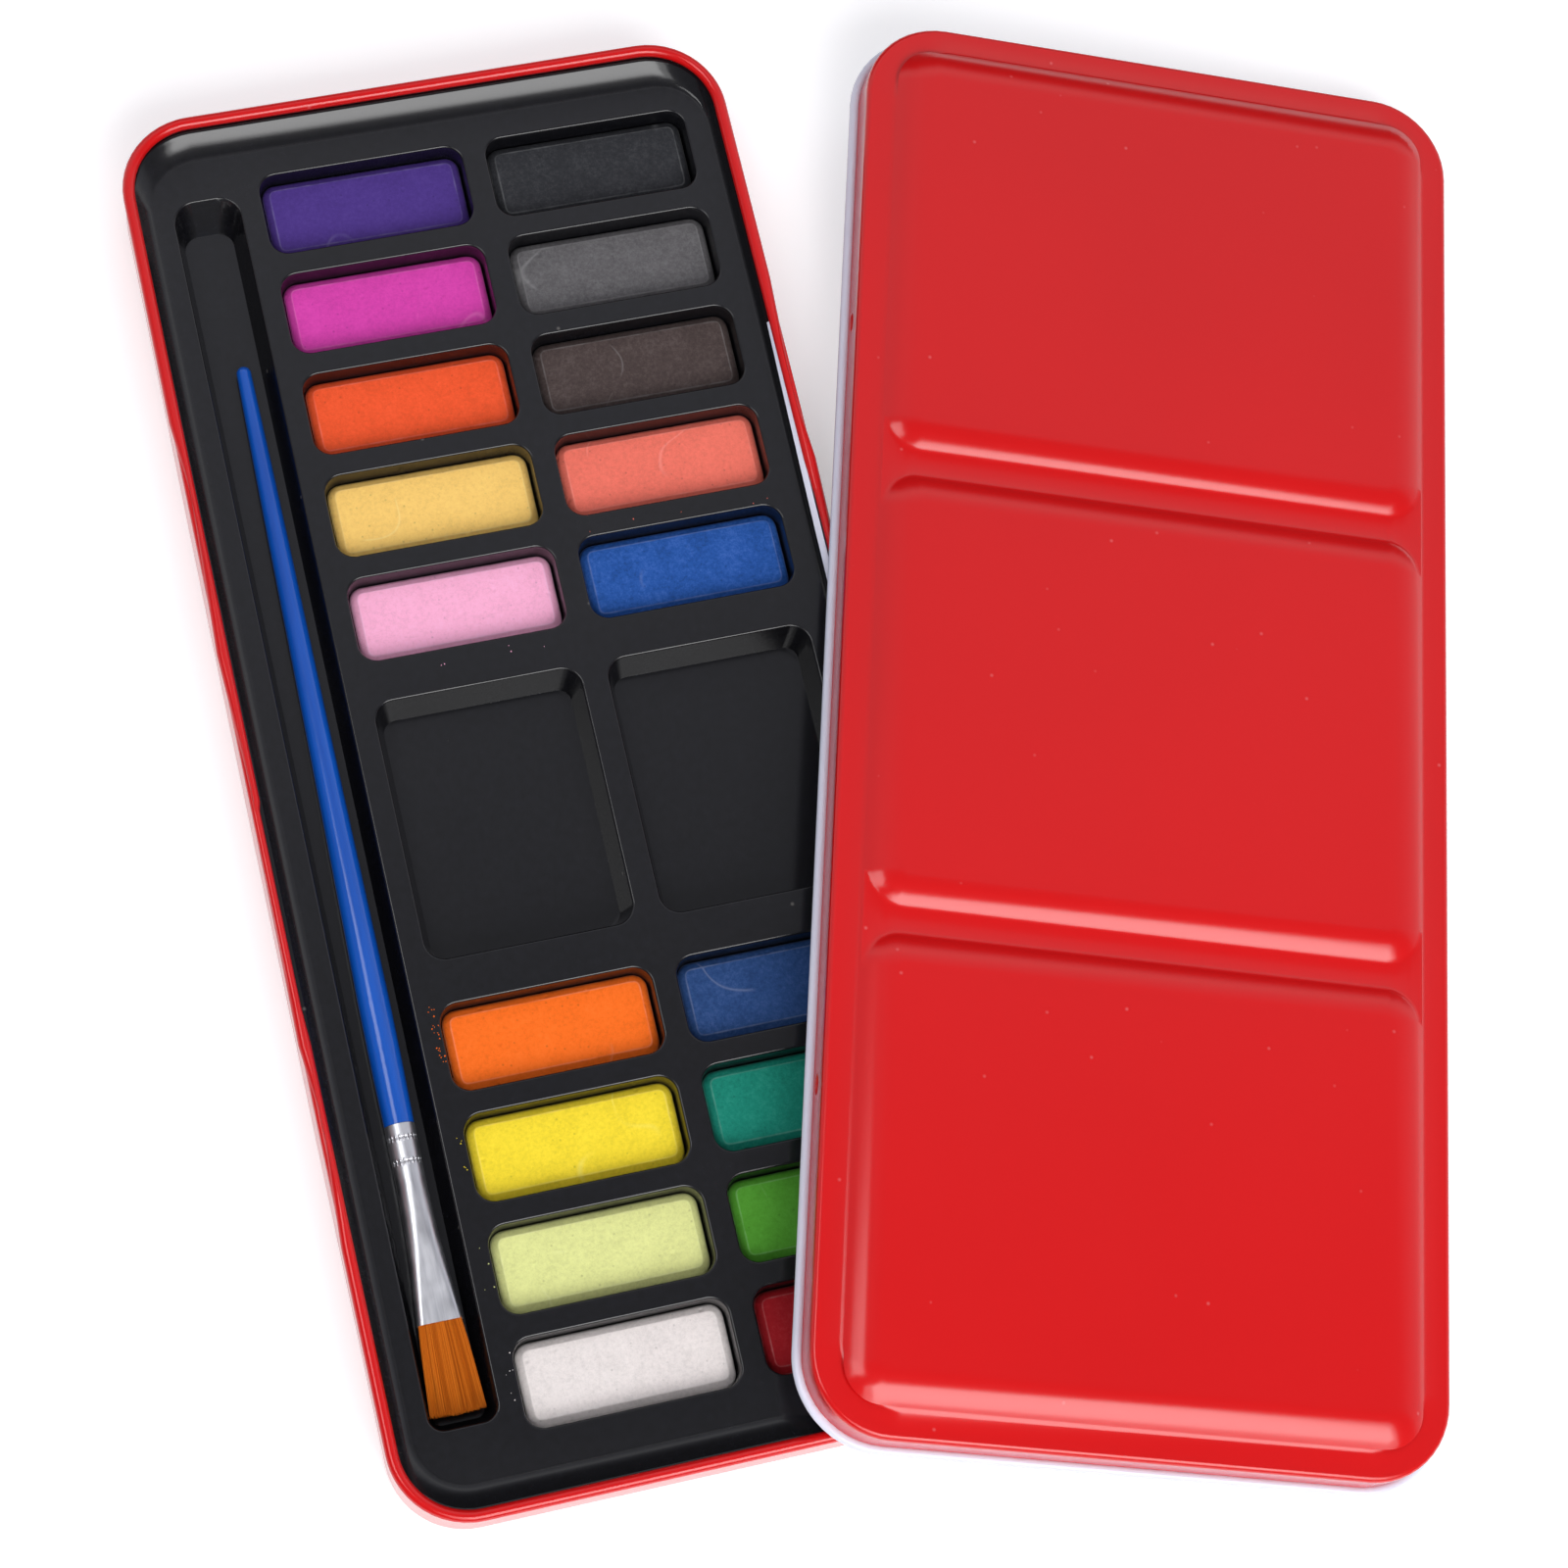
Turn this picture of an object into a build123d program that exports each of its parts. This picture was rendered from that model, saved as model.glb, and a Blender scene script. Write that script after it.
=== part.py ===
from build123d import *
from math import cos, radians, sin
import os

# A flat watercolour paint tin, in millimetres.
# The base stands on Z = 0 with its long side along Y and its centre at the origin.
# The loose lid lies beside it, propped on the right rim, outside up.

# Base tin
BASE_WIDTH = 91.6
BASE_LENGTH = 210.0
BASE_CORNER = 11.5
SIDE_BOW = 0.3
SHEET = 0.3
WALL_INSET = 0.3
FOOT_RADIUS = 1.0
RIM_HEIGHT = 13.0
RIM_RADIUS = 0.9
RIM_CENTRE_Z = RIM_HEIGHT - RIM_RADIUS

# Black moulded tray
TRAY_SHEET = 0.5
PLATEAU_Z = 9.2
PLATEAU_LEFT = -41.5
PLATEAU_RIGHT = 43.0
PLATEAU_TOP = 99.4
PLATEAU_BOTTOM = -99.6
TRAY_EDGE_X = 43.75
TRAY_EDGE_Y = 103.0
TRAY_EDGE_Z = 11.1
TRAY_FLOOR_Z = 0.85
PLATEAU_CORNER = 7.5
TRAY_EDGE_CORNER = 9.7
SLOPE_END_ANGLE = 88.0
SLOPE_STEPS = 6
LIP_RADIUS = 0.35

# Paint cakes in two columns
CAKE_WIDTH = 29.46
CAKE_HEIGHT = 11.85
CAKE_PITCH = 16.06
CAKE_FIRST_TOP = 94.72
CAKE_COLUMNS = {"left": -10.26, "right": 23.96}
CAKE_TOP_Z = 6.6
CAKE_BOTTOM_Z = 0.9
CAKE_CORNER = 2.1
CAKE_BEVEL_WIDTH = 1.1
CAKE_BEVEL_DROP = 0.7
CAKE_SLOTS = (0, 1, 2, 3, 4, 8, 9, 10, 11)
CAKE_COLOURS = {
    "left": ("purple", "magenta", "red", "golden", "pink", "orange", "lemon", "lime", "white"),
    "right": ("black", "grey", "brown", "coral", "blue", "navy", "teal", "green", "crimson"),
}
WELL_WIDTH = 30.6
WELL_HEIGHT = 12.6
WELL_CORNER = 2.7
WALL_DRAFT = 2.5

# Mixing wells
MIXING_WIDTH = 30.3
MIXING_LENGTH = 38.8
MIXING_CENTRE_Y = -7.45
MIXING_FLOOR_Z = 3.1
MIXING_RUN = 1.3
MIXING_CORNER = 3.0

# Brush channel
CHANNEL_LEFT = -38.75
CHANNEL_RIGHT = -28.9
CHANNEL_TOP = 92.9
CHANNEL_BOTTOM = -91.6
CHANNEL_FLOOR_Z = 4.2
CHANNEL_LEFT_RUN = 1.0
CHANNEL_RIGHT_RUN = 1.6
CHANNEL_BOTTOM_RUN = 1.3
CHANNEL_TOP_RUN = 3.6
CHANNEL_TOP_CORNER = 3.4
CHANNEL_BOTTOM_CORNER = 2.3
CHANNEL_FLOOR_TRIM = 1.2

# Brush, made along Y with its handle tip towards +Y
BRUSH_FERRULE_POINT = (-34.03, -48.5, 7.06)
BRUSH_YAW = -0.43
BRUSH_PITCH = -0.83
HANDLE_TIP = 115.95
HANDLE_TIP_RADIUS = 1.08
HANDLE_START_RADIUS = 2.14
# Distance from the ferrule and radius halfway along each arc, then at its end
HANDLE_ARCS = (
    (12.0, 2.26, 28.0, 2.12),
    (50.0, 1.84, 73.0, 1.60),
    (94.0, 1.40, HANDLE_TIP - HANDLE_TIP_RADIUS, HANDLE_TIP_RADIUS),
)
TENON_RADIUS = 1.85
TENON_LENGTH = 8.5
FERRULE_SHEET = 0.18
HANDLE_GAP = 0.05
# Distance down the ferrule, full width, full thickness, corner radius
FERRULE_SECTIONS = (
    (0.0, 4.26, 4.26, 2.08),
    (9.0, 4.24, 4.24, 2.07),
    (13.0, 4.40, 3.86, 1.88),
    (17.0, 4.70, 3.36, 1.62),
    (21.0, 5.24, 2.84, 1.36),
    (25.0, 5.98, 2.36, 1.12),
    (28.2, 6.50, 2.10, 1.00),
)
CRIMP_DISTANCES = (2.0, 5.4)
CRIMP_DEPTH = 0.08
CRIMP_RADIUS = 0.3
BRISTLE_COLUMNS = 46
BRISTLE_ROWS = 7
BRISTLE_RADIUS = 0.055
BRISTLE_LENGTH = 13.0
BRISTLE_ROOT_DEPTH = 1.5
BRISTLE_ROOT_WIDTH = 5.7
BRISTLE_ROOT_THICKNESS = 1.5
BRISTLE_END_WIDTH = 7.6
BRISTLE_END_THICKNESS = 1.7
STRAND_INSET = 0.15
STRAND_HOLD = 0.6
STRAND_UNEVENNESS = 0.2
HEAD_ROUNDING = 0.25

# Lid, made with Z = 0 on its flange, then laid against the base
LID_WIDTH = 92.6
LID_LENGTH = 214.0
LID_CORNER = 11.9
LID_EDGE_RADIUS = 0.85
LID_BEAD_DROP = 6.1
LID_BEAD_RADIUS = 0.75
CREASE_WIDTH = 85.2
CREASE_LENGTH = 206.4
CREASE_CORNER = 9.3
STEP_HEIGHT = 0.6
STEP_RUN = 0.77
PANEL_HEIGHT = 2.3
PANEL_ARC = 8.2
PANEL_CORNER = 8.8
VALLEY_WIDTH = 3.1
VALLEY_CENTRES = (35.2, -34.1)
DIMPLE_Y = 58.0
DIMPLE_Z = -3.5
DIMPLE_LENGTH = 5.2
DIMPLE_DEPTH = 0.4
DIMPLE_BULGE = 1.2
LID_CENTRE = (83.6, -14.4, 15.37)
LID_TILT = 6.75
LID_TURN = -16.38


def save(name, shape):
    """Writes one named part."""
    shape.label = name
    export_step(shape, f"parts/{name}.step")


def plate(width, length, corner, z):
    """A rounded rectangle lying flat at height z."""
    return Pos(0, 0, z) * RectangleRounded(width, length, corner)


def rectangle_between(left, right, bottom, top, corner, z):
    """A rounded rectangle set by its four sides."""
    return Pos((left + right) / 2, (bottom + top) / 2, 0) * plate(
        right - left, top - bottom, corner, z
    )


def block(width, length, corner, low, high):
    """An upright rounded block between two heights."""
    return extrude(plate(width, length, corner, low), high - low)


def bowed_outline(inset, z):
    """The base's outline drawn in by an inset, its long sides bowed outwards."""
    x = BASE_WIDTH / 2 - inset
    y = BASE_LENGTH / 2 - inset
    side = x - SIDE_BOW
    edges = [
        ThreePointArc((side, -y), (x, 0), (side, y)),
        Line((side, y), (-side, y)),
        ThreePointArc((-side, y), (-x, 0), (-side, -y)),
        Line((-side, -y), (side, -y)),
    ]
    face = make_face(edges)
    face = fillet(face.vertices(), BASE_CORNER - inset)
    return Pos(0, 0, z) * face


def rolled_edge(path, radius, start, end):
    """A strip of sheet curled round a closed path, from one angle to another."""
    ring = Circle(radius) - Circle(radius - SHEET)
    reach = 3 * radius
    steps = 8
    corners = [(0, 0)]
    for i in range(steps + 1):
        angle = radians(start + (end - start) * i / steps)
        corners.append((reach * cos(angle), reach * sin(angle)))
    section = ring & make_face(Polyline(*corners, close=True))
    along = path.tangent_at(0)
    out = along.cross(Vector(0, 0, 1))
    if out.dot(path.position_at(0)) < 0:
        out = -out
        along = -along
    plane = Plane(origin=path.position_at(0), x_dir=out, z_dir=-along)
    return sweep(plane * section, path)


def base_tin():
    """Pressed tin tray with a rounded foot and a rim rolled inwards."""
    outer = extrude(bowed_outline(WALL_INSET, 0), RIM_CENTRE_Z - 0.4)
    foot = outer.faces().sort_by(Axis.Z)[0].edges()
    outer = fillet(foot, FOOT_RADIUS)
    inner = extrude(bowed_outline(WALL_INSET + SHEET, SHEET), RIM_HEIGHT)
    foot = inner.faces().sort_by(Axis.Z)[0].edges()
    inner = fillet(foot, FOOT_RADIUS - SHEET)
    path = bowed_outline(RIM_RADIUS, RIM_CENTRE_Z).wires()[0]
    rim = rolled_edge(path, RIM_RADIUS, -58, 250)
    return (outer - inner) + rim


def well(width, length, corner, floor_z, draft, grow):
    """A tapered pocket below the plateau, grown by the sheet for its outside."""
    mouth = plate(width + 2 * grow, length + 2 * grow, corner + grow, PLATEAU_Z)
    depth = PLATEAU_Z - floor_z + grow
    return extrude(mouth, -depth, taper=draft)


def mixing_well(grow):
    """A wide mixing well with sloping walls."""
    depth = PLATEAU_Z - MIXING_FLOOR_Z
    mouth = plate(
        MIXING_WIDTH + 2 * grow, MIXING_LENGTH + 2 * grow, MIXING_CORNER + grow, PLATEAU_Z
    )
    floor = plate(
        MIXING_WIDTH - 2 * MIXING_RUN + 2 * grow,
        MIXING_LENGTH - 2 * MIXING_RUN + 2 * grow,
        MIXING_CORNER - 1 + grow,
        PLATEAU_Z - depth - grow,
    )
    return loft([mouth, floor], ruled=True)


def channel_outline(left, right, bottom, top, trim, z):
    """The channel's outline at one height, rounder at the end by the handle's tip."""
    outline = Pos((left + right) / 2, (bottom + top) / 2, z) * Rectangle(
        right - left, top - bottom
    )
    corners = outline.vertices().sort_by(Axis.Y)
    outline = fillet(corners[:2], CHANNEL_BOTTOM_CORNER + trim)
    corners = outline.vertices().sort_by(Axis.Y)
    return fillet(corners[-2:], CHANNEL_TOP_CORNER + trim)


def channel(grow):
    """The long brush channel, with a ramp at the end by the handle's tip."""
    mouth = channel_outline(
        CHANNEL_LEFT - grow,
        CHANNEL_RIGHT + grow,
        CHANNEL_BOTTOM - grow,
        CHANNEL_TOP + grow,
        grow,
        PLATEAU_Z,
    )
    floor = channel_outline(
        CHANNEL_LEFT + CHANNEL_LEFT_RUN - grow,
        CHANNEL_RIGHT - CHANNEL_RIGHT_RUN + grow,
        CHANNEL_BOTTOM + CHANNEL_BOTTOM_RUN - grow,
        CHANNEL_TOP - CHANNEL_TOP_RUN + grow,
        grow - CHANNEL_FLOOR_TRIM,
        CHANNEL_FLOOR_Z - grow,
    )
    return loft([mouth, floor], ruled=True)


def slope_section(share, grow):
    """One outline of the tray's raised edge, from plateau to its upper rim."""
    end = radians(SLOPE_END_ANGLE)
    across = sin(end * share) / sin(end)
    up = (1 - cos(end * share)) / (1 - cos(end))
    left = PLATEAU_LEFT + (-TRAY_EDGE_X - PLATEAU_LEFT) * across - grow
    right = PLATEAU_RIGHT + (TRAY_EDGE_X - PLATEAU_RIGHT) * across + grow
    top = PLATEAU_TOP + (TRAY_EDGE_Y - PLATEAU_TOP) * across + grow
    bottom = PLATEAU_BOTTOM + (-TRAY_EDGE_Y - PLATEAU_BOTTOM) * across - grow
    height = PLATEAU_Z + (TRAY_EDGE_Z - PLATEAU_Z) * up - (grow if share < 1 else 0)
    corner = PLATEAU_CORNER + (TRAY_EDGE_CORNER - PLATEAU_CORNER) * across + grow
    return rectangle_between(left, right, bottom, top, corner, height)


def tray():
    """Thin moulded tray with nine wells a column, two mixing wells and a channel."""
    shares = [step / SLOPE_STEPS for step in range(SLOPE_STEPS + 1)]
    body = loft([slope_section(share, TRAY_SHEET) for share in shares], ruled=True)
    wells = []
    pockets = []
    for x in CAKE_COLUMNS.values():
        for slot in CAKE_SLOTS:
            y = CAKE_FIRST_TOP - CAKE_HEIGHT / 2 - CAKE_PITCH * slot
            spot = Pos(x, y, 0)
            size = (WELL_WIDTH, WELL_HEIGHT, WELL_CORNER, TRAY_FLOOR_Z, WALL_DRAFT)
            wells.append(spot * well(*size, 0))
            pockets.append(spot * well(*size, TRAY_SHEET))
        spot = Pos(x, MIXING_CENTRE_Y, 0)
        wells.append(spot * mixing_well(0))
        pockets.append(spot * mixing_well(TRAY_SHEET))
    wells.append(channel(0))
    pockets.append(channel(TRAY_SHEET))
    body = body + pockets
    bowl = loft([slope_section(share, 0) for share in shares], ruled=True)
    body = body - bowl
    body = body - wells
    lips = body.faces().filter_by(Axis.Z).filter_by_position(Axis.Z, PLATEAU_Z - 0.01, PLATEAU_Z + 0.01)
    rings = []
    for face in lips:
        for wire in face.inner_wires():
            rings += wire.edges()
    return fillet(rings, LIP_RADIUS)


def cake():
    """A pressed tablet of paint with drafted sides and a bevelled top edge."""
    height = CAKE_TOP_Z - CAKE_BOTTOM_Z
    top = plate(CAKE_WIDTH, CAKE_HEIGHT, CAKE_CORNER, CAKE_TOP_Z)
    tablet = extrude(top, -height, taper=WALL_DRAFT)
    edges = tablet.faces().sort_by(Axis.Z)[-1].edges()
    face = tablet.faces().sort_by(Axis.Z)[-1]
    return chamfer(edges, CAKE_BEVEL_WIDTH, CAKE_BEVEL_DROP, reference=face)


def cakes():
    """All the cakes by name, in two columns from the top down."""
    tablet = cake()
    placed = {}
    for column, x in CAKE_COLUMNS.items():
        for slot, colour in zip(CAKE_SLOTS, CAKE_COLOURS[column]):
            y = CAKE_FIRST_TOP - CAKE_HEIGHT / 2 - CAKE_PITCH * slot
            placed[f"cake_{colour}"] = Pos(x, y, 0) * tablet
    return placed


def brush_place():
    """Where the brush lies in its channel."""
    return Pos(*BRUSH_FERRULE_POINT) * Rot(Z=BRUSH_YAW) * Rot(X=BRUSH_PITCH)


def brush_handle():
    """Turned handle, round at the tip and fullest near the ferrule."""
    start = (HANDLE_START_RADIUS, 0)
    outline = [Line((TENON_RADIUS, 0), start)]
    for middle_y, middle_radius, end_y, end_radius in HANDLE_ARCS:
        end = (end_radius, end_y)
        outline.append(ThreePointArc(start, (middle_radius, middle_y), end))
        start = end
    lean = HANDLE_TIP_RADIUS * (1 - cos(radians(45)))
    outline.append(
        ThreePointArc(start, (HANDLE_TIP_RADIUS - lean, HANDLE_TIP - lean), (0, HANDLE_TIP))
    )
    outline.append(Line((0, HANDLE_TIP), (0, -TENON_LENGTH)))
    outline.append(Line((0, -TENON_LENGTH), (TENON_RADIUS, -TENON_LENGTH)))
    outline.append(Line((TENON_RADIUS, -TENON_LENGTH), (TENON_RADIUS, 0)))
    return revolve(make_face(outline), Axis.Y)


def ferrule_form(trim):
    """The ferrule's solid form, drawn in by a trim."""
    sections = []
    for distance, width, thickness, corner in FERRULE_SECTIONS:
        plane = Plane(origin=(0, -distance, 0), x_dir=(1, 0, 0), z_dir=(0, 1, 0))
        outline = RectangleRounded(width - 2 * trim, thickness - 2 * trim, corner - trim)
        sections.append(plane * outline)
    return loft(sections, ruled=True)


def brush_ferrule():
    """Metal tube, crimped round the handle and pressed flat at the bristles."""
    tube = ferrule_form(0) - ferrule_form(FERRULE_SHEET)
    tube_radius = FERRULE_SECTIONS[0][1] / 2
    for distance in CRIMP_DISTANCES:
        ring = Torus(tube_radius + CRIMP_RADIUS - CRIMP_DEPTH, CRIMP_RADIUS)
        tube = tube - Pos(0, -distance, 0) * Rot(X=90) * ring
    return Pos(0, -HANDLE_GAP, 0) * tube


def bristle(column, row):
    """One straight three sided strand, fanned from the root to the end."""
    across = column / (BRISTLE_COLUMNS - 1) - 0.5
    through = row / (BRISTLE_ROWS - 1) - 0.5
    root_y = -FERRULE_SECTIONS[-1][0]
    start = Vector(
        across * (BRISTLE_ROOT_WIDTH - 2 * STRAND_INSET),
        root_y + STRAND_HOLD,
        through * (BRISTLE_ROOT_THICKNESS - 2 * STRAND_INSET),
    )
    reach = BRISTLE_LENGTH - 2 * HEAD_ROUNDING * abs(through)
    reach = reach + STRAND_UNEVENNESS * sin(column * 2.4 + row * 1.7)
    end = Vector(
        across * BRISTLE_END_WIDTH, root_y - reach, through * BRISTLE_END_THICKNESS
    )
    along = end - start
    plane = Plane(origin=start, x_dir=(0, 0, 1), z_dir=along.normalized())
    section = plane * RegularPolygon(BRISTLE_RADIUS, 3)
    return extrude(section, along.length)


def brush_bristles():
    """Flat head of strands on the root that the ferrule holds."""
    root_y = -FERRULE_SECTIONS[-1][0]
    root = Pos(0, root_y + BRISTLE_ROOT_DEPTH / 2 - 0.1, 0) * Box(
        BRISTLE_ROOT_WIDTH - 0.1, BRISTLE_ROOT_DEPTH, BRISTLE_ROOT_THICKNESS - 0.1
    )
    taper = root.edges().filter_by(Axis.Y)
    root = fillet(taper, 0.3)
    strands = []
    for column in range(BRISTLE_COLUMNS):
        for row in range(BRISTLE_ROWS):
            strands.append(bristle(column, row))
    return root + strands


def panel_edge_run():
    """How far in the arc of a panel's edge runs above the step."""
    rise = PANEL_HEIGHT - STEP_HEIGHT
    return (PANEL_ARC**2 - (PANEL_ARC - rise) ** 2) ** 0.5


def panel(low_y, high_y):
    """One raised panel of the lid with rolled-over edges."""
    reach = PANEL_ARC - panel_edge_run()
    width = CREASE_WIDTH - 2 * STEP_RUN + 2 * reach
    length = high_y - low_y + 2 * reach
    centre = (high_y + low_y) / 2
    form = block(width, length, PANEL_CORNER, PANEL_HEIGHT - 2 * PANEL_ARC, PANEL_HEIGHT)
    form = fillet(form.faces().sort_by(Axis.Z)[-1].edges(), PANEL_ARC)
    above = Pos(0, 0, STEP_HEIGHT) * Box(
        LID_LENGTH, LID_LENGTH, PANEL_ARC, align=(Align.CENTER, Align.CENTER, Align.MIN)
    )
    return (Pos(0, centre, 0) * form) & (Pos(0, centre, 0) * above)


def pressed_form():
    """The step and the three raised panels that stand above the lid's flange."""
    sections = [
        plate(CREASE_WIDTH, CREASE_LENGTH, CREASE_CORNER, 0),
        plate(
            CREASE_WIDTH - 2 * STEP_RUN,
            CREASE_LENGTH - 2 * STEP_RUN,
            CREASE_CORNER - STEP_RUN,
            STEP_HEIGHT,
        ),
    ]
    step = loft(sections, ruled=True)
    end = CREASE_LENGTH / 2 - STEP_RUN
    half = VALLEY_WIDTH / 2
    upper, lower = VALLEY_CENTRES
    form = step + panel(upper + half, end)
    form = form + panel(lower + half, upper - half)
    form = form + panel(-end, lower - half)
    return form


def dimple(side, end, grow):
    """A shallow spindle-shaped dent in a long wall of the lid."""
    half = DIMPLE_LENGTH / 2 + grow
    bulge = DIMPLE_BULGE + grow
    arc = ThreePointArc((0, -half), (bulge, 0), (0, half))
    spindle = revolve(make_face([arc, Line((0, half), (0, -half))]), Axis.Y)
    x = LID_WIDTH / 2 - DIMPLE_DEPTH + DIMPLE_BULGE
    return Pos(side * x, end * DIMPLE_Y, DIMPLE_Z) * spindle


def lid_local():
    """Pressed lid with a curled lower edge, in its own frame."""
    outer = block(LID_WIDTH, LID_LENGTH, LID_CORNER, -LID_BEAD_DROP, 0)
    outer = fillet(outer.faces().sort_by(Axis.Z)[-1].edges(), LID_EDGE_RADIUS)
    inner = block(
        LID_WIDTH - 2 * SHEET, LID_LENGTH - 2 * SHEET, LID_CORNER - SHEET, -LID_BEAD_DROP - 1, -SHEET
    )
    inner = fillet(inner.faces().sort_by(Axis.Z)[-1].edges(), LID_EDGE_RADIUS - SHEET)
    form = pressed_form()
    shell = outer + form
    shell = shell - inner
    shell = shell - Pos(0, 0, -SHEET) * form
    out = LID_BEAD_RADIUS - SHEET
    path = plate(
        LID_WIDTH + 2 * out, LID_LENGTH + 2 * out, LID_CORNER + out, -LID_BEAD_DROP
    ).wires()[0]
    shell = shell + rolled_edge(path, LID_BEAD_RADIUS, 180, 508)
    for side in (-1, 1):
        for end in (-1, 1):
            inside = Pos(side * (LID_WIDTH / 2 - SHEET - 2), end * DIMPLE_Y, DIMPLE_Z) * Box(4.2, 8, 5)
            shell = shell + (dimple(side, end, SHEET) & inside)
            shell = shell - dimple(side, end, 0)
    return shell


def lid():
    """The lid where it lies, its left edge and lower end on the base's rim."""
    return Pos(*LID_CENTRE) * Rot(Y=LID_TILT) * Rot(Z=LID_TURN) * lid_local()


os.makedirs("parts", exist_ok=True)
save("base_tin", base_tin())
save("tray", tray())
for name, shape in cakes().items():
    save(name, shape)
save("brush_handle", brush_place() * brush_handle())
save("brush_ferrule", brush_place() * brush_ferrule())
save("brush_bristles", brush_place() * brush_bristles())
save("lid", lid())
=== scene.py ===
# %% [markdown]
# # A watercolour tin with its lid off
#
# The model is a flat pressed tin with a black tray of eighteen paint cakes, two
# mixing wells and a flat brush. The lid lies loose beside it, propped on the rim.
# We load the measured solids first. They fix every size and place, so each piece
# made here only has to follow them.

# %% Load the solids
import bpy
import bmesh
import random
from math import acos, cos, exp, hypot, pi, radians, sin
from mathutils import Matrix, Vector, noise


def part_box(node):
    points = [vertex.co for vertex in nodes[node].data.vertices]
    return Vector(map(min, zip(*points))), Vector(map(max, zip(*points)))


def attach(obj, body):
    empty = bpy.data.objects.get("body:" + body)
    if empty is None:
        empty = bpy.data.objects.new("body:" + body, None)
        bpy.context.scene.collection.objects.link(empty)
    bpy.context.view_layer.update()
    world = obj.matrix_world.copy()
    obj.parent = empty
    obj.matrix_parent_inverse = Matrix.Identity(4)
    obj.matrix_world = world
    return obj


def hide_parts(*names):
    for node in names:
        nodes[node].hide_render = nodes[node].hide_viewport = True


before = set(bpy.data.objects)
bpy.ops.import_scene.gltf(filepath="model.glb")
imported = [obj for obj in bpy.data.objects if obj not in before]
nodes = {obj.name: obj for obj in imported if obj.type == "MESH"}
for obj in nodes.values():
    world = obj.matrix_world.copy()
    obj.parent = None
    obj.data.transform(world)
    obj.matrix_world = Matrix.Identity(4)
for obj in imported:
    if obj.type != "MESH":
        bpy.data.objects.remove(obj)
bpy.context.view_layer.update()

MM = 0.001
scene = bpy.context.scene
print("solids loaded:", len(nodes))

# %% [markdown]
# ## The camera
#
# A camera is placed by hand, by a constraint that looks at a target, or by solving
# for the place from which known corners line up. The tin's corners and its grid of
# cakes were solved for here, which also gives the focal length: a long lens, well
# above the table, a little to the left of the tin's front.

# %% Camera
CAMERA_PLACE_MM = (-75.24, -153.03, 567.58)
CAMERA_TURN_DEGREES = (16.08, -7.14, -13.32)
LENS_MM = 93.19
SENSOR_MM = 36
NEAREST = 0.01
FARTHEST = 20

camera_data = bpy.data.cameras.new("Camera")
camera_data.lens = LENS_MM
camera_data.sensor_width = SENSOR_MM
camera_data.clip_start = NEAREST
camera_data.clip_end = FARTHEST
camera = bpy.data.objects.new("Camera", camera_data)
camera.location = [value * MM for value in CAMERA_PLACE_MM]
camera.rotation_euler = [radians(value) for value in CAMERA_TURN_DEGREES]
scene.collection.objects.link(camera)
scene.camera = camera
print("camera height in mm:", round(camera.location.z / MM, 1))


# %% [markdown]
# ## Helpers for materials
#
# A node material is a small graph. Writing it out node by node gets long, so a few
# helpers keep each material short: they add a node, start a material, or wire up a
# noise, a ramp or a bump. Fixed numbers go on the sockets themselves, and only what
# varies over the surface arrives through a link.

# %% Material helpers
def add_node(tree, kind, **inputs):
    """Adds a shader node and sets its inputs by name."""
    node = tree.nodes.new(kind)
    for name, value in inputs.items():
        node.inputs[name.replace("_", " ")].default_value = value
    return node


def start_material(name, **inputs):
    """A material with one Principled shader, and the parts needed to add to it."""
    material = bpy.data.materials.new(name)
    material.use_nodes = True
    tree = material.node_tree
    shader = tree.nodes["Principled BSDF"]
    for key, value in inputs.items():
        shader.inputs[key.replace("_", " ")].default_value = value
    return material, tree, shader


def paint_colour(red, green, blue):
    """A colour written as on a screen, 0 to 255, in the light's own scale."""
    linear = []
    for value in (red, green, blue):
        share = value / 255
        if share <= 0.04045:
            linear.append(share / 12.92)
        else:
            linear.append(((share + 0.055) / 1.055) ** 2.4)
    return (*linear, 1)


def shade(colour, factor, lift=0.0):
    """A colour made deeper or paler, with a little grey lifted in."""
    return tuple(min(1, value * factor + lift) for value in colour[:3]) + (1,)


def object_place(tree, stretch=(1, 1, 1)):
    """Object coordinates, stretched where a pattern runs one way."""
    place = tree.nodes.new("ShaderNodeTexCoord")
    mapping = add_node(tree, "ShaderNodeMapping", Scale=stretch)
    tree.links.new(place.outputs["Object"], mapping.inputs["Vector"])
    return mapping.outputs["Vector"]


def object_noise(tree, scale, detail=3, roughness=0.55, stretch=(1, 1, 1)):
    """A noise texture on Object coordinates, so the grain stays with the piece."""
    cloud = add_node(tree, "ShaderNodeTexNoise", Scale=scale, Detail=detail, Roughness=roughness)
    tree.links.new(object_place(tree, stretch), cloud.inputs["Vector"])
    return cloud.outputs["Fac"]


def colour_ramp(tree, factor, stops):
    """A colour ramp fed by a factor, with its stops as pairs of place and colour."""
    ramp = tree.nodes.new("ShaderNodeValToRGB")
    while len(ramp.color_ramp.elements) < len(stops):
        ramp.color_ramp.elements.new(1)
    for element, (place, colour) in zip(ramp.color_ramp.elements, stops):
        element.position = place
        element.color = colour
    tree.links.new(factor, ramp.inputs["Fac"])
    return ramp.outputs["Color"]


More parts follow.
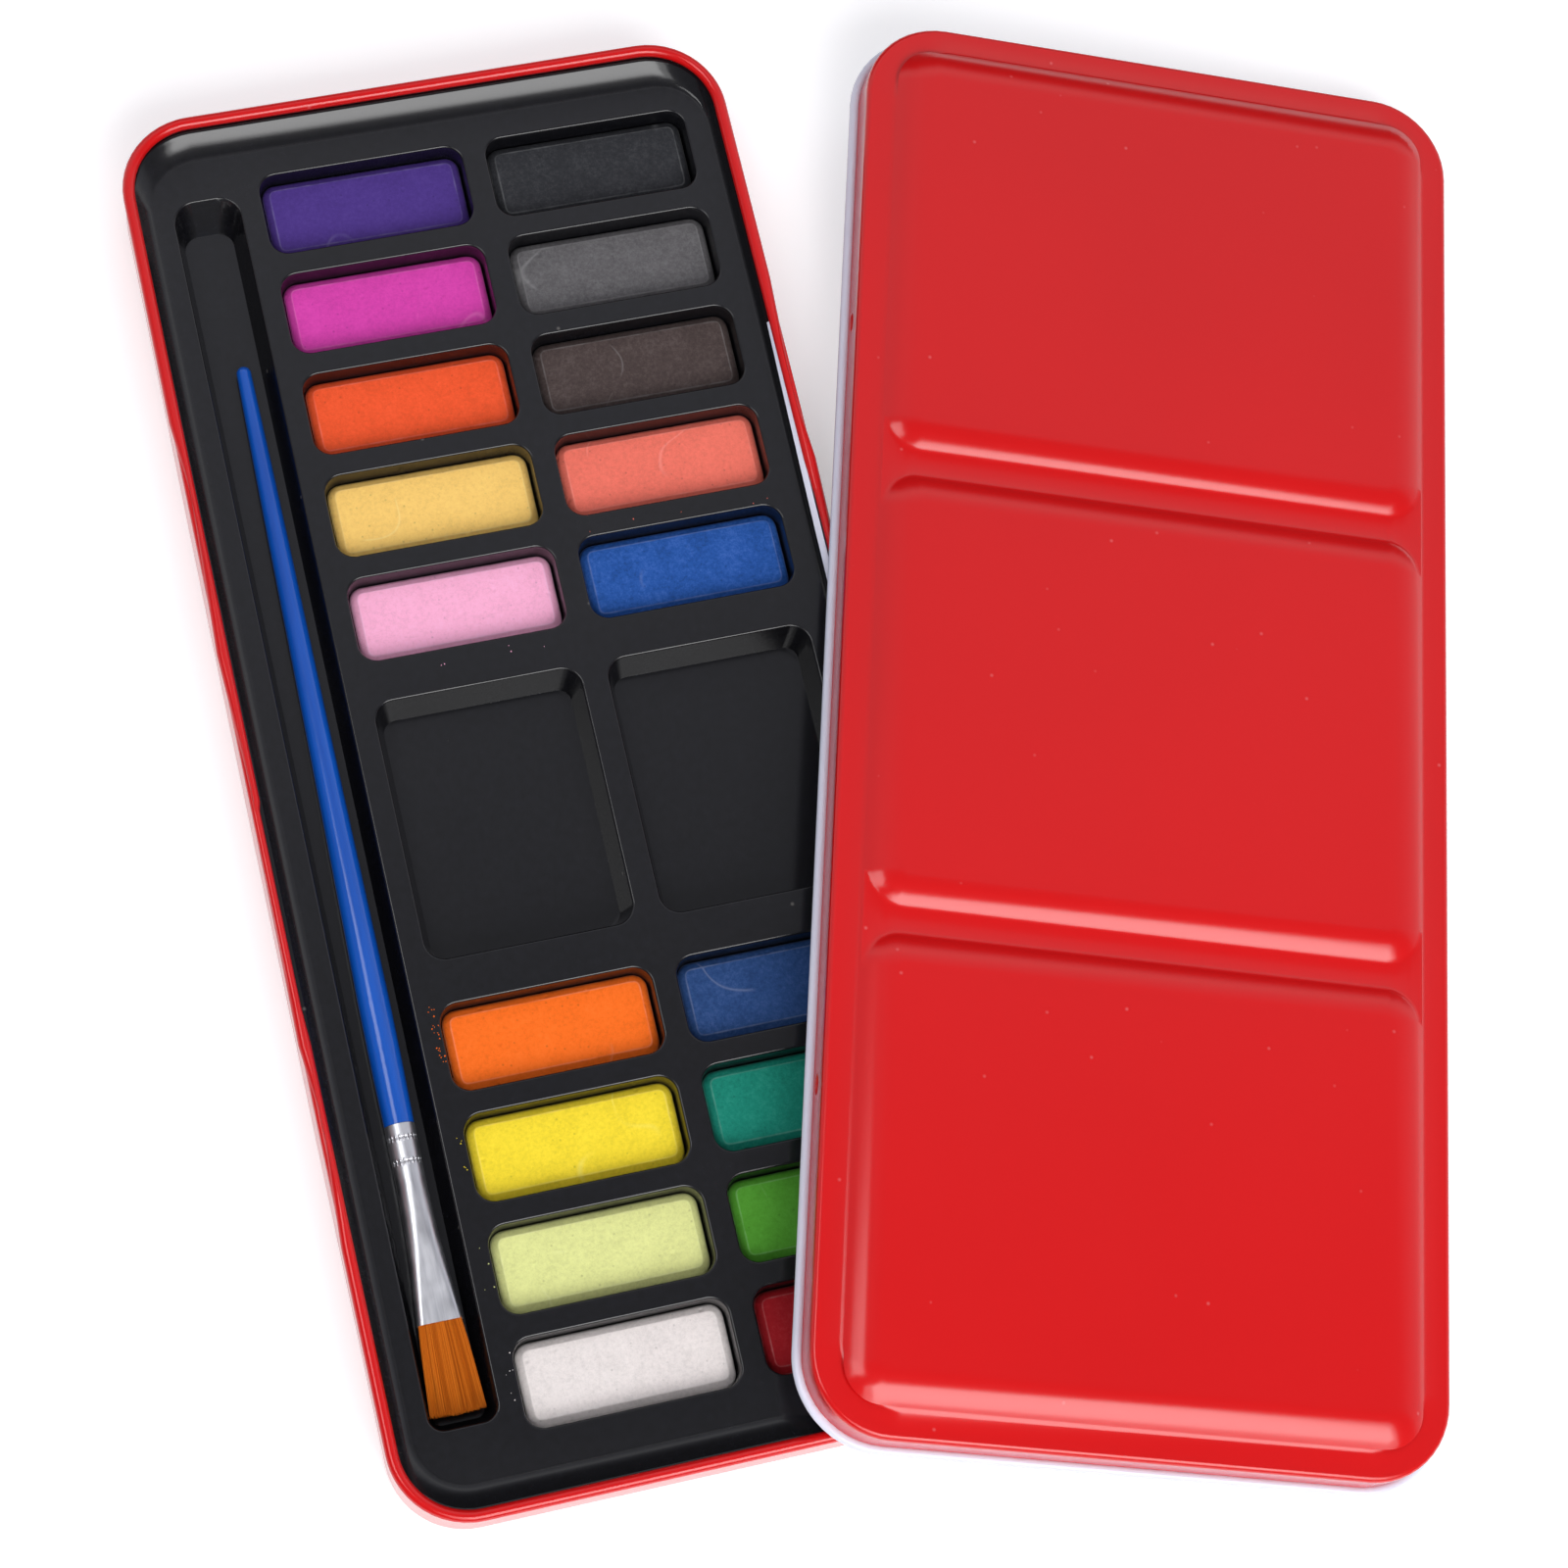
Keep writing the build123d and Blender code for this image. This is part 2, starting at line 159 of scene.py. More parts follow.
def map_range(tree, factor, from_low, from_high, to_low, to_high):
    """Turns one range of a factor into another."""
    mapped = tree.nodes.new("ShaderNodeMapRange")
    mapped.inputs["From Min"].default_value = from_low
    mapped.inputs["From Max"].default_value = from_high
    mapped.inputs["To Min"].default_value = to_low
    mapped.inputs["To Max"].default_value = to_high
    tree.links.new(factor, mapped.inputs["Value"])
    return mapped.outputs["Result"]


def calculate(tree, operation, first, second):
    """One sum on two values, each a number or a link."""
    step = tree.nodes.new("ShaderNodeMath")
    step.operation = operation
    for socket, value in zip(step.inputs, (first, second)):
        if isinstance(value, (int, float)):
            socket.default_value = value
        else:
            tree.links.new(value, socket)
    return step.outputs[0]


def blend_colour(tree, factor, first, second):
    """Mixes two colours, each a fixed colour or a link, by a factor."""
    mix = tree.nodes.new("ShaderNodeMix")
    mix.data_type = "RGBA"
    tree.links.new(factor, mix.inputs["Factor"])
    for socket, value in ((mix.inputs["A"], first), (mix.inputs["B"], second)):
        if isinstance(value, tuple):
            socket.default_value = value
        else:
            tree.links.new(value, socket)
    return mix.outputs["Result"]


SPECK_CHOICE = 0.72


def specks(tree, scale, size):
    """Sparse round dots: one in the middle of some cells, and nothing elsewhere."""
    cells = add_node(tree, "ShaderNodeTexVoronoi", Scale=scale)
    tree.links.new(object_place(tree), cells.inputs["Vector"])
    near = map_range(tree, cells.outputs["Distance"], 0, size, 1, 0)
    parts = tree.nodes.new("ShaderNodeSeparateColor")
    tree.links.new(cells.outputs["Color"], parts.inputs["Color"])
    chosen = calculate(tree, "GREATER_THAN", parts.outputs["Red"], SPECK_CHOICE)
    return calculate(tree, "MULTIPLY", near, chosen)


def add_relief(tree, shader, height_mm):
    """Small relief on a shader, from a height in millimetres."""
    bump = add_node(tree, "ShaderNodeBump", Strength=1.0, Distance=MM)
    tree.links.new(height_mm, bump.inputs["Height"])
    tree.links.new(bump.outputs["Normal"], shader.inputs["Normal"])


# %% [markdown]
# ## Lacquered tin
#
# The tin is sheet steel, printed red outside and lacquered white inside. Gloss
# lacquer is a smooth clear coat over a colour. The Principled shader has such a
# coat, so the colour below stays soft and the coat gives the sharp reflections. Real
# printed sheet is never quite flat: a wide faint noise in the relief bends the
# highlights, and sparse dust and hair scratches break up the gloss.

# %% Lacquer
LACQUER_DUST = 0.35
SHEET_WAVE_MM = 0.012
LACQUER_PEEL_MM = 0.0007


def lacquer(name, colour, dust_colour):
    """Gloss lacquer on pressed sheet, with faint waves, dust and fine scratches."""
    material, tree, shader = start_material(
        name, Roughness=0.45, Specular_IOR_Level=0.03, Coat_Weight=1.0, Coat_Roughness=0.17
    )
    clouds = object_noise(tree, 14, 2)
    body = colour_ramp(tree, clouds, [(0.3, shade(colour, 0.94)), (0.7, colour)])
    dust = specks(tree, 260, 0.09)
    faint = calculate(tree, "MULTIPLY", dust, LACQUER_DUST)
    tree.links.new(blend_colour(tree, faint, body, dust_colour), shader.inputs["Base Color"])
    scuffs = object_noise(tree, 160, 5, 0.7, (1, 0.12, 1))
    rough = map_range(tree, scuffs, 0.35, 0.75, 0.36, 0.56)
    tree.links.new(rough, shader.inputs["Roughness"])
    waves = calculate(tree, "MULTIPLY", object_noise(tree, 26, 1), SHEET_WAVE_MM)
    peel = calculate(tree, "MULTIPLY", object_noise(tree, 700, 2), LACQUER_PEEL_MM)
    add_relief(tree, shader, calculate(tree, "ADD", waves, peel))
    return material


red_lacquer = lacquer("Red lacquer", paint_colour(212, 12, 14), paint_colour(240, 150, 150))
white_lacquer = lacquer("White lacquer", paint_colour(228, 230, 246), paint_colour(190, 188, 190))
print("lacquers:", red_lacquer.name, "and", white_lacquer.name)


# %% [markdown]
# ## Black moulded plastic
#
# The tray is a thin black sheet drawn down over a mould. Its colour is nearly black,
# and what we see of it is mostly its glossy skin, which is softened a little, sags in
# faint waves and holds pale dust. The mould also leaves a fine bead all round the
# flat, near the sloping edge. That line follows a rounded rectangle, so the shader
# works out each point's distance from one, and raises a narrow ridge where the
# distance is close to zero.

# %% Distance from a rounded rectangle
def distance_from_rectangle(tree, centre_mm, half_mm, corner_mm):
    """Distance in millimetres outside a rounded rectangle in the XY plane."""
    place = tree.nodes.new("ShaderNodeTexCoord")
    parts = tree.nodes.new("ShaderNodeSeparateXYZ")
    tree.links.new(place.outputs["Object"], parts.inputs["Vector"])
    beyond = []
    for axis, middle, half in zip("XY", centre_mm, half_mm):
        scaled = calculate(tree, "MULTIPLY", parts.outputs[axis], 1 / MM)
        offset = calculate(tree, "SUBTRACT", scaled, middle)
        size = calculate(tree, "ABSOLUTE", offset, 0)
        past_corner = calculate(tree, "SUBTRACT", size, half - corner_mm)
        beyond.append(calculate(tree, "MAXIMUM", past_corner, 0))
    squares = [calculate(tree, "MULTIPLY", value, value) for value in beyond]
    total = calculate(tree, "ADD", squares[0], squares[1])
    length = calculate(tree, "SQRT", total, 0)
    return calculate(tree, "SUBTRACT", length, corner_mm)


# %% Tray plastic
BEAD_CENTRE_MM = (0.75, -0.1)
BEAD_HALF_MM = (42.15, 99.4)
BEAD_CORNER_MM = 7.4
BEAD_WIDTH_MM = 0.22
BEAD_HEIGHT_MM = 0.07
PLASTIC_DUST = 0.5
PLASTIC_GRAIN_MM = 0.003
PLASTIC_SAG_MM = 0.045


def tray_plastic():
    """Glossy black sheet plastic with dust, faint sags and a moulded bead."""
    material, tree, shader = start_material(
        "Black tray plastic", Specular_IOR_Level=0.1, Coat_Weight=1.0, Coat_Roughness=0.15
    )
    mottle = object_noise(tree, 900, 4, 0.7)
    body = colour_ramp(
        tree, mottle, [(0.35, paint_colour(8, 8, 11)), (0.75, paint_colour(17, 17, 22))]
    )
    dust = specks(tree, 210, 0.075)
    smudge = map_range(tree, object_noise(tree, 30, 4, 0.6), 0.56, 0.76, 0, 0.12)
    faint = calculate(tree, "MULTIPLY", dust, PLASTIC_DUST)
    dusty = blend_colour(tree, faint, body, paint_colour(150, 146, 140))
    chalky = blend_colour(tree, smudge, dusty, paint_colour(40, 39, 43))
    tree.links.new(chalky, shader.inputs["Base Color"])
    patches = object_noise(tree, 45, 4)
    rough = map_range(tree, patches, 0.3, 0.7, 0.38, 0.52)
    tree.links.new(rough, shader.inputs["Roughness"])
    away = distance_from_rectangle(tree, BEAD_CENTRE_MM, BEAD_HALF_MM, BEAD_CORNER_MM)
    beside = calculate(tree, "ABSOLUTE", away, 0)
    bead = map_range(tree, beside, 0, BEAD_WIDTH_MM, BEAD_HEIGHT_MM, 0)
    grain = calculate(tree, "MULTIPLY", object_noise(tree, 1900, 3, 0.65), PLASTIC_GRAIN_MM)
    sag = calculate(tree, "MULTIPLY", object_noise(tree, 130, 2, 0.5), PLASTIC_SAG_MM)
    add_relief(tree, shader, calculate(tree, "ADD", bead, calculate(tree, "ADD", grain, sag)))
    return material


black_plastic = tray_plastic()
print("finish:", black_plastic.name)


# %% [markdown]
# ## Smooth copies of the solids
#
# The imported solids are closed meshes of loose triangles. A copy with its doubles
# merged can be shaded smoothly: edges that bend less than a set angle are soft, and
# sharper ones stay crisp. A Weighted Normal modifier then keeps the large flats
# flat, so that the shading of a rounded edge doesn't spread across them.

# %% Smooth copies
WELD_MM = 0.002


def merged_solid(node):
    """A bmesh of a solid with its doubles merged."""
    shape = bmesh.new()
    shape.from_mesh(nodes[node].data)
    bmesh.ops.remove_doubles(shape, verts=shape.verts, dist=WELD_MM * MM)
    return shape


def finish_mesh(shape, name, crease=34):
    """Turns a bmesh into an object, smooth except at sharp edges."""
    for face in shape.faces:
        face.smooth = True
    for edge in shape.edges:
        edge.smooth = edge.calc_face_angle(0) < radians(crease)
    mesh = bpy.data.meshes.new(name)
    shape.to_mesh(mesh)
    shape.free()
    piece = bpy.data.objects.new(name, mesh)
    scene.collection.objects.link(piece)
    even = piece.modifiers.new("Even shading", "WEIGHTED_NORMAL")
    even.keep_sharp = True
    return piece


def made_points(result):
    """The vertices among what an operator made."""
    return [item for item in result["geom"] if isinstance(item, bmesh.types.BMVert)]


def settle(piece, body, node=None):
    """Makes a piece ride on its body, and stand for a solid where it has one."""
    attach(piece, body)
    if node:
        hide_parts(node)
    print(piece.name, "faces:", len(piece.data.polygons))


# %% [markdown]
# ## The base tin
#
# One pressing makes the floor and walls, and its edge is rolled inwards. The red
# print is outside and goes over the roll, and the white lacquer is inside. Two
# material slots on one mesh show that: a face belongs inside when it looks towards
# the middle of the tin from a wall, or up from the floor.

# %% Base tin
SHEET_MM = 0.3
FLOOR_TOP_MM = 1.5
ROLL_UNDERSIDE_MM = 11.0
LOOKS_UP = 0.2


def looks_inside(face):
    """Whether a face of the tin is on its white inner side."""
    centre = face.calc_center_median() / MM
    inward = centre.x * face.normal.x + centre.y * face.normal.y < 0
    on_floor = centre.z < FLOOR_TOP_MM and face.normal.z > LOOKS_UP
    on_wall = SHEET_MM < centre.z < ROLL_UNDERSIDE_MM and inward
    return on_floor or on_wall


shape = merged_solid("base_tin")
for face in shape.faces:
    face.material_index = 1 if looks_inside(face) else 0
base = finish_mesh(shape, "base_shell", crease=50)
base.data.materials.append(red_lacquer)
base.data.materials.append(white_lacquer)
settle(base, "base", "base_tin")

# %% [markdown]
# ## The moulded tray
#
# The tray's wells and rounded lips come with its solid. Three things are added for
# the look of drawn plastic. The sloping edge is straightened into an even ramp, which
# catches the light over its whole width. The corners round the mixing wells' floors
# are bevelled, because plastic never draws into a sharp corner. Last, along the
# right side the edge draws away from the tin, and the white inside of the rolled rim
# shows as a thin line: we cut the long straight faces across with bisect_plane, so
# that there are points to move, and pull the edge in along a shallow curve.

# %% Ramp of the tray's edge
PLATEAU_MM = 9.2
TRAY_TOP_MM = 11.1
TRAY_SHEET_MM = 0.5
RAMP_ARC = radians(88)
RAMP_CURVE = 1.35
RAMP_MARGIN_MM = 0.01
LEVEL_ENOUGH = 0.05


def ramp_lift(z_mm):
    """How far a point of the curved edge rises to lie on the ramp."""
    up = min(1, max(0, (z_mm - PLATEAU_MM) / (TRAY_TOP_MM - PLATEAU_MM)))
    angle = acos(1 - up * (1 - cos(RAMP_ARC)))
    across = sin(angle) / sin(RAMP_ARC)
    return (across ** RAMP_CURVE - up) * (TRAY_TOP_MM - PLATEAU_MM)


def straighten_ramp(shape):
    """Lifts both sides of the plastic's sloping edge onto an even ramp."""
    shape.normal_update()
    for vert in shape.verts:
        under = vert.normal.z < 0
        z = vert.co.z / MM + (TRAY_SHEET_MM if under else 0)
        on_edge = PLATEAU_MM + RAMP_MARGIN_MM < z < TRAY_TOP_MM - RAMP_MARGIN_MM
        if on_edge and abs(vert.normal.z) > LEVEL_ENOUGH:
            vert.co.z += ramp_lift(z) * MM


# %% Soft corners of the floors
FLOORS_MM = (3.1, 4.2)
FLOOR_MARGIN_MM = 0.01
FLOOR_CORNER = radians(30)
FLOOR_BEVEL_MM = 0.55
FLOOR_BEVEL_STEPS = 4


def soften_floors(shape):
    """Bevels the corner between each open floor and its walls."""
    corners = []
    for edge in shape.edges:
        heights = [vert.co.z / MM for vert in edge.verts]
        gaps = [max(abs(z - floor) for z in heights) for floor in FLOORS_MM]
        if min(gaps) < FLOOR_MARGIN_MM and edge.calc_face_angle(0) > FLOOR_CORNER:
            corners.append(edge)
    bmesh.ops.bevel(
        shape,
        geom=corners,
        offset=FLOOR_BEVEL_MM * MM,
        segments=FLOOR_BEVEL_STEPS,
        profile=0.5,
        affect="EDGES",
        material=-1,
        clamp_overlap=True,
    )
    print("floor corners bevelled:", len(corners))


# %% Tray
GIVE_MM = 0.7
GIVE_REACH_MM = 60.0
GIVE_FROM_MM = 43.1
GIVE_FULL_MM = 43.6
GIVE_CUTS = 24
RIGHT_EDGE_FROM_MM = 42


def give_at(y_mm):
    """How far the tray's right edge is drawn in at a place along it."""
    share = 1 - (y_mm / GIVE_REACH_MM) ** 2
    return GIVE_MM * max(0, share)


shape = merged_solid("tray")
straighten_ramp(shape)
soften_floors(shape)
for cut in range(GIVE_CUTS + 1):
    y = (2 * cut / GIVE_CUTS - 1) * GIVE_REACH_MM
    right = RIGHT_EDGE_FROM_MM * MM
    beside = [face for face in shape.faces if face.calc_center_median().x > right]
    around = {edge for face in beside for edge in face.edges}
    corners = {vert for face in beside for vert in face.verts}
    bmesh.ops.bisect_plane(
        shape,
        geom=list(corners) + list(around) + beside,
        plane_co=(0, y * MM, 0),
        plane_no=(0, 1, 0),
    )
for vert in shape.verts:
    x = vert.co.x / MM
    weight = min(1, max(0, (x - GIVE_FROM_MM) / (GIVE_FULL_MM - GIVE_FROM_MM)))
    vert.co.x -= give_at(vert.co.y / MM) * weight * MM
tray = finish_mesh(shape, "tray_shell", crease=40)
tray.data.materials.append(black_plastic)
settle(tray, "base", "tray")

# %% [markdown]
# The line of white is the cut end of the roll, turned up inside the rim. A grid two
# faces wide follows the tray's edge on one side and the roll on the other, and
# solidify gives it the sheet's thickness.

# %% Turned end of the roll
ROLL_EDGE_MM = 44.12
TRAY_EDGE_MM = 43.75
LINE_TOP_MM = 11.75
LINE_REACH_MM = 58.0
LINE_LAP_MM = 0.12
LINE_DIP_MM = 0.35
LINE_SHEET_MM = 0.2

shape = bmesh.new()
bmesh.ops.create_grid(shape, x_segments=2, y_segments=30, size=1)
for vert in shape.verts:
    across = (vert.co.x + 1) / 2
    y = vert.co.y * LINE_REACH_MM
    inner = TRAY_EDGE_MM - give_at(y) + LINE_LAP_MM
    x = inner + (ROLL_EDGE_MM - inner) * across
    z = LINE_TOP_MM - LINE_DIP_MM * (1 - across) ** 2
    vert.co = Vector((x, y, z)) * MM
bmesh.ops.recalc_face_normals(shape, faces=shape.faces)
bmesh.ops.solidify(shape, geom=list(shape.faces), thickness=LINE_SHEET_MM * MM)
roll_end = finish_mesh(shape, "roll_end")
roll_end.data.materials.append(white_lacquer)
settle(roll_end, "base")

# %% [markdown]
# ## The lid
#
# The lid is pressed from the same sheet: a flat flange, three raised panels with
# rolled-over edges and two valleys between them. Its lower edge is curled outwards,
# so the white lacquer of the inside shows along that curl. The lid lies tilted, so
# each face is first turned back into the lid's own frame, where "on the curl" is
# simply a height, and "inside" is the way that a face looks.

# %% Lid
LID_PLACE_MM = Vector((83.6, -14.4, 15.37))
LID_TILT = 6.75
LID_TURN = -16.38
LID_HALF_MM = (46.3, 107.0)
LID_CORNER_MM = 11.9
CURL_TOP_MM = -5.2
FACES_UP = 0.1
FACES_OUT = 0.5

lid_frame = (
    Matrix.Translation(LID_PLACE_MM * MM)
    @ Matrix.Rotation(radians(LID_TILT), 4, "Y")
    @ Matrix.Rotation(radians(LID_TURN), 4, "Z")
)
into_lid = lid_frame.inverted()


def away_from_middle(point):
    """The direction out of the lid through its nearest wall, in the lid's frame."""
    core = [half - LID_CORNER_MM for half in LID_HALF_MM]
    x = point.x - max(-core[0], min(core[0], point.x))
    y = point.y - max(-core[1], min(core[1], point.y))
    return Vector((x, y, 0))


def shows_white(face):
    """Whether a face of the lid is on its curl or its inner side."""
    point = (into_lid @ face.calc_center_median()) / MM
    facing = into_lid.to_3x3() @ face.normal
    outside = facing.z > FACES_UP or facing.dot(away_from_middle(point)) > FACES_OUT
    return point.z < CURL_TOP_MM or not outside


shape = merged_solid("lid")
for face in shape.faces:
    face.material_index = 1 if shows_white(face) else 0
lid = finish_mesh(shape, "lid_shell", crease=48)
lid.data.materials.append(red_lacquer)
lid.data.materials.append(white_lacquer)
settle(lid, "lid", "lid")

# %% [markdown]
# ## Paint cakes
#
# Each cake is pressed from damp pigment. Its face is flat and matt, its top edge is
# bevelled and worn soft, and its sides shrink a little from the well as it dries. A
# plain box with a bevel looks too clean, so each cake is a grid: its outer lines are
# packed close together to draw the bevel, its corners are turned from squares into
# quarter circles, and a noise unevenly wears the edge. The boundary is then extruded
# down for the sides, and the grid keeps how near each point is to the outer edge and
# to the crease of the bevel, so that the paint can be paler where the edge is worn,
# with a painted highlight along the crease.

# %% Cake shape
CAKE_CORNER_MM = 2.1
ROUND_RUN_MM = 0.3
ROUND_DROP_MM = 0.25
GROWTH_MM = (0.2, 0.12)
BEVEL_RUN_MM = 1.15
BEVEL_DROP_MM = 0.78
EDGE_LINES_MM = (0, 0.06, 0.16, 0.34, 0.6, 0.86, 1.04, 1.16, 1.3, 1.7)
CREASE_HIGHLIGHT_WIDTH_MM = 0.16
OUTER_WEAR_MM = 0.2
FLAT_CELLS = (44, 16)
SIDE_LEVELS = (0.25, 0.6, 1.0)
SIDE_SHRINK = 0.04
SIDE_RAGGED_MM = 0.06
WORN_RUN_MM = 1.9
WEAR_MM = 0.09
CHIP_MM = 0.3
CHIPS_FROM = 0.34
DISH_MM = 0.10
CREASE_HIGHLIGHT_SHARE = 0.8
WEAR_SCALE = 0.55
CHIPS_SCALE = 1.9
DISH_SCALE = 0.13
RAGGED_SCALE = 1.3


def lines_across(half, cells):
    """Places of the grid's lines from one side to the other, dense at both edges."""
    near = [line - half for line in EDGE_LINES_MM]
    middle = 2 * (half - EDGE_LINES_MM[-1])
    between = [near[-1] + middle * step / cells for step in range(1, cells)]
    return near + between + [-place for place in reversed(near)]


def cake_height(inward, place, seed):
    """Height below or above the flat face, from how far inside the edge a point is."""
    share = min(1, inward / BEVEL_RUN_MM)
    rounding = ROUND_DROP_MM * max(0, 1 - inward / ROUND_RUN_MM) ** 2
    bevel = -BEVEL_DROP_MM * (1 - share) - rounding
    wear = noise.noise(Vector((place[0] * WEAR_SCALE, place[1] * WEAR_SCALE, seed)))
    chips = noise.noise(Vector((place[0] * CHIPS_SCALE, place[1] * CHIPS_SCALE, seed + 9)))
    edge = max(0, 1 - inward / WORN_RUN_MM)
    worn = -WEAR_MM * edge * max(0, wear) - CHIP_MM * edge * max(0, chips - CHIPS_FROM)
    hollow = noise.noise(Vector((place[0] * DISH_SCALE, place[1] * DISH_SCALE, seed)))
    dish = -DISH_MM * (1 - edge) * (0.5 + 0.5 * hollow)
    return bevel + worn + dish


def pressed_cake(node, name, seed):
    """One cake as a fine grid with a worn bevel, filling its solid's place."""
    low, high = [Vector(corner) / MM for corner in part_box(node)]
    middle = (low + high) / 2
    half = (high - low) / 2 + Vector((*GROWTH_MM, 0))
    across = lines_across(half.x, FLAT_CELLS[0])
    along = lines_across(half.y, FLAT_CELLS[1])
    shape = bmesh.new()
    rubbed_edge_and_crease_highlight = shape.verts.layers.float.new("rubbed_edge_and_crease_highlight")
    bmesh.ops.create_grid(shape, x_segments=len(across) - 1, y_segments=len(along) - 1, size=1)
    for vert in shape.verts:
        x = across[round((vert.co.x + 1) / 2 * (len(across) - 1))]
        y = along[round((vert.co.y + 1) / 2 * (len(along) - 1))]
        inward = min(half.x - abs(x), half.y - abs(y))
        past_x = abs(x) - (half.x - CAKE_CORNER_MM)
        past_y = abs(y) - (half.y - CAKE_CORNER_MM)
        if past_x > 0 and past_y > 0:
            squeeze = max(past_x, past_y) / hypot(past_x, past_y)
            x = (abs(x) - past_x * (1 - squeeze)) * (1 if x > 0 else -1)
            y = (abs(y) - past_y * (1 - squeeze)) * (1 if y > 0 else -1)
        z = high.z + cake_height(inward, (x, y), seed)
        # A painted highlight along the bevel's crease, and paleness from wear at the outer edge
        crease = CREASE_HIGHLIGHT_SHARE * exp(-(((inward - BEVEL_RUN_MM) / CREASE_HIGHLIGHT_WIDTH_MM) ** 2))
        vert[rubbed_edge_and_crease_highlight] = max(crease, exp(-((inward / OUTER_WEAR_MM) ** 2)))
        vert.co = Vector((middle.x + x, middle.y + y, z)) * MM
    depth = high.z - BEVEL_DROP_MM - low.z
    reached = 0
    for level in SIDE_LEVELS:
        rim = [edge for edge in shape.edges if edge.is_boundary]
        wall = bmesh.ops.extrude_edge_only(shape, edges=rim)
        for vert in made_points(wall):
            offset = vert.co / MM - middle
            shrink = 1 - SIDE_SHRINK * (level - reached)
            ragged = SIDE_RAGGED_MM * noise.noise(vert.co / MM * RAGGED_SCALE)
            vert.co.x = (middle.x + offset.x * shrink + ragged) * MM
            vert.co.y = (middle.y + offset.y * shrink + ragged) * MM
            vert.co.z -= depth * (level - reached) * MM
        reached = level
    rim = [edge for edge in shape.edges if edge.is_boundary]
    bmesh.ops.contextual_create(shape, geom=rim)
    bmesh.ops.recalc_face_normals(shape, faces=shape.faces)
    return finish_mesh(shape, name, crease=50)


# %% [markdown]
# ### Dry paint
#
# One function makes the finish for any colour. Pressed pigment is clouded, grainy
# and pitted, paler where the edge is rubbed, and it has a few deep specks. The crease
# of the bevel is lighter as well: that is a painted highlight. All of that is done
# with noises at four sizes, from clouds a few millimetres wide to grain finer than a
# tenth, so that it holds up close and from a step away. A dry brush leaves hairline
# scratches: the places where a broad noise crosses its middle value are thin curves,
# and a second noise keeps only a few of them. The teal, green and crimson cakes are
# written a little lighter, because the lid's shadow falls on them.

# %% Paint finish
CAKE_COLOURS = {
    "purple": (76, 52, 134), "magenta": (217, 66, 172), "red": (244, 88, 44),
    "golden": (251, 205, 113), "pink": (254, 178, 212), "orange": (252, 111, 26),
    "lemon": (246, 219, 50), "lime": (222, 226, 149), "white": (229, 221, 218),
    "black": (47, 48, 52), "grey": (97, 95, 97), "brown": (76, 64, 62),
    "coral": (242, 118, 100), "blue": (34, 84, 163), "navy": (37, 70, 123),
    "teal": (20, 136, 116), "green": (82, 158, 46), "crimson": (158, 18, 28),
}
DEEP_CLOUDS = {"grey": 2.2, "brown": 2.2, "blue": 2.6, "navy": 2.2, "teal": 1.8, "black": 2.0}


GRIT_SHARE = 0.7
SCRATCH_WIDTH = 0.006
SCRATCH_SHARE = 0.5
PALE_WEAR_AND_HIGHLIGHT_SHARE = 0.85
GRAIN_MM = 0.08
LUMPS_MM = 0.03
PITS_MM = -0.12


def dry_paint(name, colour):
    """Matt pressed paint: clouded colour, pale worn edges, a painted highlight on the bevel's
    crease, grain, pits and specks.
    """
    material, tree, shader = start_material(
        f"Paint {name}", Roughness=0.8, Specular_IOR_Level=0.22
    )
    depth = DEEP_CLOUDS.get(name, 1.0)
    clouds = calculate(tree, "MULTIPLY", object_noise(tree, 260, 6, 0.75), 0.4)
    powder = calculate(tree, "MULTIPLY", object_noise(tree, 1900, 3, 0.75), 0.6)
    body = colour_ramp(
        tree,
        calculate(tree, "ADD", clouds, powder),
        [
            (0.36, shade(colour, 1 - 0.12 * depth)),
            (0.5, colour),
            (0.64, shade(colour, 1 + 0.07 * depth, 0.008 * depth)),
        ],
    )
    grit = specks(tree, 900, 0.2)
    dark = calculate(tree, "MULTIPLY", grit, GRIT_SHARE)
    gritty = blend_colour(tree, dark, body, shade(colour, 0.5))
    curves = calculate(tree, "SUBTRACT", object_noise(tree, 48, 1), 0.5)
    off = calculate(tree, "ABSOLUTE", curves, 0)
    hairline = map_range(tree, off, 0, SCRATCH_WIDTH, 1, 0)
    here = map_range(tree, object_noise(tree, 70, 2), 0.56, 0.62, 0, SCRATCH_SHARE)
    scratch = calculate(tree, "MULTIPLY", hairline, here)
    scratched = blend_colour(tree, scratch, gritty, shade(colour, 1.0, 0.16))
    # Paler at the worn outer edge, and a painted highlight along the crease of the bevel
    edge = tree.nodes.new("ShaderNodeAttribute")
    edge.attribute_name = "rubbed_edge_and_crease_highlight"
    rub = object_noise(tree, 420, 4, 0.7)
    rubbed = calculate(tree, "MULTIPLY", edge.outputs["Fac"], rub)
    pale = map_range(tree, rubbed, 0.16, 0.46, 0, PALE_WEAR_AND_HIGHLIGHT_SHARE)
    finish = blend_colour(tree, pale, scratched, shade(colour, 1.0, 0.1))
    tree.links.new(finish, shader.inputs["Base Color"])
    grain = calculate(tree, "MULTIPLY", object_noise(tree, 1500, 4, 0.75), GRAIN_MM)
    lumps = calculate(tree, "MULTIPLY", object_noise(tree, 300, 3, 0.6), LUMPS_MM)
    pits = calculate(tree, "MULTIPLY", specks(tree, 520, 0.24), PITS_MM)
    rough_face = calculate(tree, "ADD", grain, lumps)
    add_relief(tree, shader, calculate(tree, "ADD", rough_face, pits))
    return material


paints = {name: dry_paint(name, paint_colour(*c)) for name, c in CAKE_COLOURS.items()}

